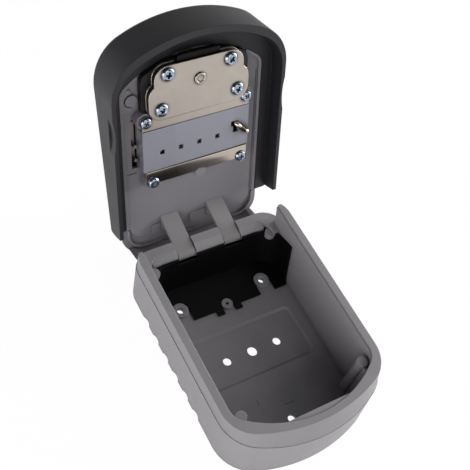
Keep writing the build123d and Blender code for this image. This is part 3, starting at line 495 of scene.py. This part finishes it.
# rivet in the lock plate: a rounded rim round a dished middle with a low knob in it
rivetLook = {
    "at": (0, -43.3 * mm), "seat": 34.3 * mm, "radius": 3.4 * mm, "height": 0.9 * mm, "vertices": 56,
    "round": 0.35 * mm, "roundSteps": 4, "rim": 0.8 * mm, "slope": 0.25 * mm, "dish": 0.45 * mm,
    "knobSlope": 0.9 * mm, "knob": 0.2 * mm, "dimpleSlope": 0.3 * mm, "dimple": 0.12 * mm,
    "shank": 1.6 * mm, "shankVertices": 32, "shankEnd": 39.2 * mm, "overlap": 0.1 * mm}
rivet = diskBetween(0, 0, rivetLook["radius"], 0, rivetLook["height"], rivetLook["vertices"])
edited(rivet, facesUp, rounding(rivetLook["round"], rivetLook["roundSteps"]))
edited(rivet, flatMiddle(rivetLook["radius"]), inset(rivetLook["rim"]),
       inset(rivetLook["slope"]), lift(-rivetLook["dish"]),
       inset(rivetLook["knobSlope"]), lift(rivetLook["knob"]),
       inset(rivetLook["dimpleSlope"]), lift(-rivetLook["dimple"]))
top = rivetLook["overlap"]
low = top - (rivetLook["shankEnd"] - rivetLook["seat"])
combined(rivet, diskBetween(0, 0, rivetLook["shank"], low, top, rivetLook["shankVertices"]), "UNION")
rivet.rotation_euler = (math.pi, 0, 0)
rivet.location = (*rivetLook["at"], rivetLook["seat"])
finished(rivet, "plateRivet", nickel, "door", "lock_rivet")
print("the rivet is in")

# lower bracket: a bent strip with a rounded fold, two ears and a notch round a stud of the tray
# (notch and stud: x, y, radius)
stripLook = {
    "half": 32.4 * mm, "near": 9.6 * mm, "far": 18.3 * mm, "front": 36.2 * mm, "thickness": 1.2 * mm,
    "foldHalf": 29.4 * mm, "foldEnd": 43.3 * mm, "foldRound": 0.8 * mm, "foldSteps": 6,
    "foldReach": 0.1 * mm,
    "ear": 3.6 * mm, "ears": ((-28.2 * mm, 17.4 * mm), (28.6 * mm, 17.1 * mm)),
    "notch": (2.4 * mm, 21.0 * mm, 4.2 * mm), "notchMargin": 1.0 * mm,
    "stud": (2.4 * mm, 20.9 * mm, 3.4 * mm), "studTop": 37.0 * mm, "studEnd": 43.6 * mm,
    "studRound": 0.9 * mm, "studSteps": 5}
front = stripLook["front"]
back = front + stripLook["thickness"]
strip = boxBetween((-stripLook["half"], stripLook["near"], front),
                   (stripLook["half"], stripLook["far"], back))
# the edge that becomes the fold is picked by its two corners
corners = strip.data.vertices
for corner in corners:
    corner.select = (corner.co.y < stripLook["near"] + stripLook["foldReach"]
                     and corner.co.z < front + stripLook["foldReach"])
for edge in strip.data.edges:
    edge.select = all(corners[end].select for end in edge.vertices)
for face in strip.data.polygons:
    face.select = False
bpy.ops.object.mode_set(mode="EDIT")
bpy.ops.mesh.select_mode(type="EDGE")
bevel, values = rounding(stripLook["foldRound"], stripLook["foldSteps"])
bevel(**values)
bpy.ops.object.mode_set(mode="OBJECT")
leg = boxBetween((-stripLook["foldHalf"], stripLook["near"], front + stripLook["foldRound"]),
                 (stripLook["foldHalf"], stripLook["near"] + stripLook["thickness"], stripLook["foldEnd"]))
combined(strip, leg, "UNION")
for x, y in stripLook["ears"]:
    combined(strip, diskBetween(x, y, stripLook["ear"], front, back), "UNION")
margin = stripLook["notchMargin"]
combined(strip, diskBetween(*stripLook["notch"], front - margin, back + margin), "DIFFERENCE")
finished(strip, "bentStrip", brightNickel, "door", "dial_bracket_lower")
stud = diskBetween(*stripLook["stud"], stripLook["studTop"], stripLook["studEnd"])
edited(stud, facesDown, rounding(stripLook["studRound"], stripLook["studSteps"]))
finished(stud, "trayStud", trayPaintedShadeGrey, "door")
print("the lower bracket is in")

# lever that frees the dials to set a new number: a bent rod with a rounded tip
# (painted reflection, dark in the middle and bright near both ends; tones: the distance from the tip as a
# share of the span, and the colour there)
leverLook = {
    "foot": (24.6 * mm, -6.7 * mm), "tip": (31.2 * mm, -0.4 * mm), "top": 34.6 * mm, "inside": 43.6 * mm,
    "radius": 1.36 * mm, "bend": 1.9 * mm, "handle": 0.55, "roundSteps": 8, "bendSteps": 10,
    "tipSwell": 1.1, "tipSegments": 32, "tipRings": 20, "smooth": 40, "reflectionSpan": 10 * mm,
    "reflectionTones": ((0.16, (214, 206, 192)), (0.24, (62, 52, 42)), (0.62, (74, 62, 50)), (0.76, (206, 198, 184))),
    "scratchSize": 0.3 * mm, "scratchDepth": 0.003 * mm, "roughness": 0.14, "roughnessSpread": 0.08}
footAt = Vector((*leverLook["foot"], leverLook["inside"]))
tipAt = Vector((*leverLook["tip"], leverLook["top"]))
cornerAt = Vector((*leverLook["foot"], leverLook["top"]))
along = (tipAt - cornerAt).normalized()
down = Vector((0, 0, 1))
bend = leverLook["bend"]
route = [(footAt, -down), (cornerAt + down * bend, -down),
         (cornerAt + along * bend, along), (tipAt, along)]
deselect()
bpy.ops.curve.primitive_bezier_curve_add(location=(0, 0, 0))
rod = bpy.context.object
spline = rod.data.splines[0]
spline.bezier_points.add(len(route) - 2)
for point, (at, way) in zip(spline.bezier_points, route):
    point.handle_left_type = point.handle_right_type = "FREE"
    point.radius = 1.0
    point.co = at
    point.handle_left = at - way * bend * leverLook["handle"]
    point.handle_right = at + way * bend * leverLook["handle"]
rod.data.dimensions = "3D"
rod.data.bevel_depth = leverLook["radius"]
rod.data.bevel_resolution = leverLook["roundSteps"]
rod.data.resolution_u = leverLook["bendSteps"]
rod.data.use_fill_caps = True
rod = cleaned(asMesh(rod))
deselect()
bpy.ops.mesh.primitive_uv_sphere_add(segments=leverLook["tipSegments"], ring_count=leverLook["tipRings"],
                                     radius=leverLook["radius"] * leverLook["tipSwell"], location=tipAt)
combined(rod, settled(bpy.context.object), "UNION")
reflectionPaint = Paint("paintedReflectionSteel", Metallic=1.0)
# painted reflection: bright at the tip, dark along the middle, bright again at the bend
fromTip = reflectionPaint.between("DISTANCE", reflectionPaint.place(), tuple(doorTurn @ tipAt))
tone = reflectionPaint.ramp(fromTip * (1 / leverLook["reflectionSpan"]),
                      *[(place, linear(*colour)) for place, colour in leverLook["reflectionTones"]])
scratches = reflectionPaint.noise(leverLook["scratchSize"], detail=3)
reflectionPaint.set(Base_Color=tone, Roughness=scratches * leverLook["roughnessSpread"] + leverLook["roughness"],
              Normal=reflectionPaint.bump(scratches, leverLook["scratchDepth"]))
finished(rod, "resetRod", reflectionPaint.material, "reset", "reset_lever", angle=leverLook["smooth"])
print("the reset lever is in")

# number wheels: one wheel and one ring of numbers are modelled, then copied along the shaft
dialLook = {
    "firstX": -22.3 * mm, "pitch": 11.67 * mm, "y": -1.6 * mm, "z": 45.7 * mm,
    "radius": 7.6 * mm, "width": 8.9 * mm, "vertices": 80, "round": 0.4 * mm, "roundSteps": 3,
    "hub": 3.2 * mm, "hubWidth": 9.5 * mm, "bore": 1.66 * mm, "hubVertices": 40,
    "flute": 1.1 * mm, "fluteOut": 0.5 * mm, "fluteVertices": 24, "cutShare": 1.5, "places": 10,
    "numberSize": 3.5 * mm, "numberDepth": 0.12 * mm, "numberSink": 0.02 * mm, "shown": (4, 7, 1, 8)}
landTurn = 360 / dialLook["places"]
wheel = roller(dialLook["radius"], dialLook["width"], dialLook["vertices"])
edited(wheel, facesAcross, rounding(dialLook["round"], dialLook["roundSteps"]))
fluteReach = dialLook["radius"] + dialLook["fluteOut"]
for place in range(dialLook["places"]):
    angle = math.radians(landTurn * place)
    flute = roller(dialLook["flute"], dialLook["width"] * dialLook["cutShare"], dialLook["fluteVertices"],
                   fluteReach * math.cos(angle), fluteReach * math.sin(angle))
    combined(wheel, flute, "DIFFERENCE")
combined(wheel, roller(dialLook["hub"], dialLook["hubWidth"], dialLook["hubVertices"]), "UNION")
boreWidth = dialLook["hubWidth"] * dialLook["cutShare"]
combined(wheel, roller(dialLook["bore"], boreWidth, dialLook["hubVertices"]), "DIFFERENCE")
numbers = []
for digit in range(dialLook["places"]):
    deselect()
    bpy.ops.object.text_add(location=(0, 0, 0))
    number = bpy.context.object
    number.data.body = str(digit)
    number.data.size = dialLook["numberSize"]
    number.data.align_x = "CENTER"
    number.data.align_y = "CENTER"
    number.data.extrude = dialLook["numberDepth"]
    number = asMesh(number)
    # upright on the land that faces the front, then round to its own land
    number.data.transform(Matrix.Rotation(math.radians(landTurn * digit), 4, "X")
                          @ Matrix.Translation((0, 0, dialLook["radius"] - dialLook["numberSink"]))
                          @ Matrix.Rotation(math.pi, 4, "Z"))
    numbers.append(number)
ring = joined(numbers)
for place, digit in enumerate(dialLook["shown"]):
    dial = "dial_" + str(place + 1)
    for model, name, material, stands in ((wheel, "numberWheel", dialBlack, dial),
                                          (ring, "wheelNumbers", numberWhite, None)):
        piece = copied(model)
        piece.rotation_euler = (math.radians(-landTurn * digit), 0, 0)
        piece.location = (dialLook["firstX"] + place * dialLook["pitch"], dialLook["y"], dialLook["z"])
        finished(piece, name + str(place + 1), material, dial, stands)
for model in (wheel, ring):
    bpy.data.objects.remove(model, do_unlink=True)
print("four number wheels are in")

# floor, soft lights and the camera of the photograph
stageLook = {"size": 6.0, "colour": (0.9, 0.9, 0.9, 1), "roughness": 0.9, "glow": 0.94, "white": 1.03}
deselect()
bpy.ops.mesh.primitive_plane_add(size=stageLook["size"], location=(0, 0, 0))
floor = bpy.context.object
floor.name = "floor"
floorPaint = Paint("floorWhite", Roughness=stageLook["roughness"])
floorPaint.set(Base_Color=stageLook["colour"])
rays = [floorPaint.node("ShaderNodeLightPath", output=name)
        for name in ("Is Camera Ray", "Is Glossy Ray", "Is Transmission Ray")]
share = floorPaint.node("ShaderNodeMath", {"operation": "MINIMUM"}, {0: rays[0] + rays[1] + rays[2], 1: 1.0})
white = floorPaint.node("ShaderNodeEmission", {}, {"Color": (1, 1, 1, 1), "Strength": stageLook["white"]})
plain = Signal(floorPaint, floorPaint.shader.outputs["BSDF"])
both = floorPaint.node("ShaderNodeMixShader", {}, {0: share * stageLook["glow"], 1: plain, 2: white})
floorPaint.feed(floorPaint.tree.nodes["Material Output"].inputs["Surface"], both)
floor.data.materials.append(floorPaint.material)

# the light comes mostly from low around the object and from the white floor, less from above
skyLook = {"stops": ((0.5, 1.0), (0.56, 1.0), (0.63, 0.05), (1.0, 0.07)), "strength": 1.0}
world = bpy.data.worlds.new("studio")
bpy.context.scene.world = world
world.use_nodes = True
sky = Graph(world.node_tree)
skyAt = sky.node("ShaderNodeTexCoord", output="Generated")
height = sky.node("ShaderNodeSeparateXYZ", {}, {0: skyAt}, output="Z") * 0.5 + 0.5
glow = sky.ramp(height, *[(place, (value, value, value, 1)) for place, value in skyLook["stops"]])
rays = [sky.node("ShaderNodeLightPath", output=name) for name in ("Is Camera Ray", "Is Transmission Ray")]
lit = sky.node("ShaderNodeBackground", {}, {"Color": glow, "Strength": skyLook["strength"]})
plain = sky.node("ShaderNodeBackground", {}, {"Color": (1, 1, 1, 1), "Strength": 1.0})
seen = sky.node("ShaderNodeMixShader", {}, {0: rays[0] + rays[1], 1: lit, 2: plain})
sky.feed(sky.tree.nodes["World Output"].inputs["Surface"], seen)

lampLook = {"size": 0.7, "aim": (0, 0.02, 0.04)}
lamps = {
    "rightLamp": {"at": (1.2, -0.1, 0.2), "power": 14.0},
    "rightHighLamp": {"at": (1.1, -0.1, 0.6), "power": 5.0},
    "leftLamp": {"at": (-1.2, -0.1, 0.2), "power": 4.0},
    "sideLamp": {"at": (-0.9, -0.7, 0.4), "power": 5.0},
    "frontLamp": {"at": (0.1, -1.0, 0.8), "power": 3.0},
    "topLamp": {"at": (0.8, 0.3, 1.0), "power": 1.5},
}
for name, lamp in lamps.items():
    light = bpy.data.lights.new(name, "AREA")
    light.size = lampLook["size"]
    light.energy = lamp["power"]
    holder = bpy.data.objects.new(name, light)
    holder.location = lamp["at"]
    holder.rotation_euler = (Vector(lampLook["aim"]) - holder.location).to_track_quat("-Z", "Y").to_euler()
    bpy.context.scene.collection.objects.link(holder)

view = {"at": (-0.19722, -0.15608, 0.45353), "turn": (34.245, -10.956, -28.716), "lens": 66.276,
        "sensor": 36.0, "nearest": 0.01}
lensData = bpy.data.cameras.new("camera")
lensData.lens = view["lens"]
lensData.sensor_width = view["sensor"]
lensData.clip_start = view["nearest"]
camera = bpy.data.objects.new("camera", lensData)
camera.location = view["at"]
camera.rotation_euler = Euler([math.radians(angle) for angle in view["turn"]], "XYZ")
bpy.context.scene.collection.objects.link(camera)
bpy.context.scene.camera = camera
bpy.context.scene.view_settings.view_transform = "Standard"
print("floor, lamps and camera stand")
